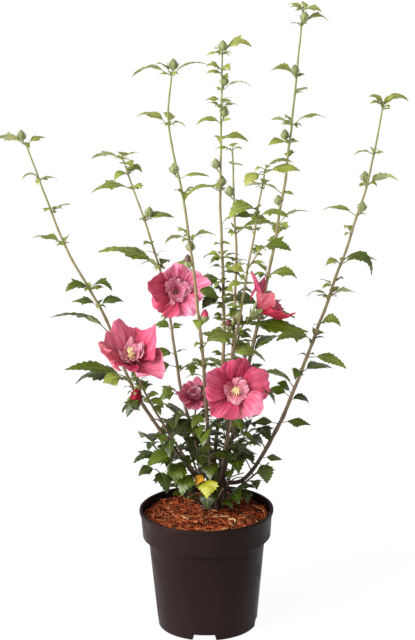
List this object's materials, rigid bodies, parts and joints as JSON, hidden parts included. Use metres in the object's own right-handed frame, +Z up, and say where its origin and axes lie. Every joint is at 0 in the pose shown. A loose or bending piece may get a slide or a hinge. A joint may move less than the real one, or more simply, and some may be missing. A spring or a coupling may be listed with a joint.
{
  "type": "potted hibiscus shrub",
  "caption": "Upright young hibiscus shrub with slender leafy stems, green buds and open deep pink double flowers, in a round black nursery pot.",
  "frame": {"origin": "centre of the pot's flat underside", "axes": "+Z up along the plant, -Y towards the side that the picture shows, +X to that view's right"},
  "size_m": [0.648, 0.3881, 1.0039],
  "materials": {
    "pot_plastic": "satin black moulded plastic, faintly scuffed",
    "bark_mulch": "loose shredded bark, orange brown",
    "stem_bark": "thin grey brown bark, turning green towards the tips",
    "leaves": "matt mid green leaf",
    "low_leaves": "dark green leaf",
    "petals": "soft deep pink petal"
  },
  "bodies": {
    "root": {"bough_back": "stem_bark", "bough_front": "stem_bark", "bough_front_bloom": "stem_bark", "bough_left": "stem_bark", "bough_left_back": "stem_bark", "bough_left_bloom": "stem_bark", "bough_low_bloom": "stem_bark", "bough_middle": "stem_bark", "bough_right": "stem_bark", "bough_right_back": "stem_bark", "centre_left_bloom": "petals", "front_bloom": "petals", "left_bloom": "petals", "low_bloom": "petals", "pot": "pot_plastic", "potting_mix": "bark_mulch", "right_bloom": "petals", "root_crown": "stem_bark", "shoot_back": "leaves", "shoot_front": "leaves", "shoot_left": "leaves", "shoot_left_back": "leaves", "shoot_middle": "leaves", "shoot_right": "leaves", "shoot_right_back": "leaves", "shoot_right_front": "leaves", "spray_back": "low_leaves", "spray_front": "low_leaves", "spray_front_left": "low_leaves", "spray_left": "low_leaves", "spray_left_back": "low_leaves", "spray_left_front": "low_leaves", "spray_right": "low_leaves", "spray_right_back": "low_leaves", "spray_right_front": "low_leaves"}
  },
  "joints": []
}
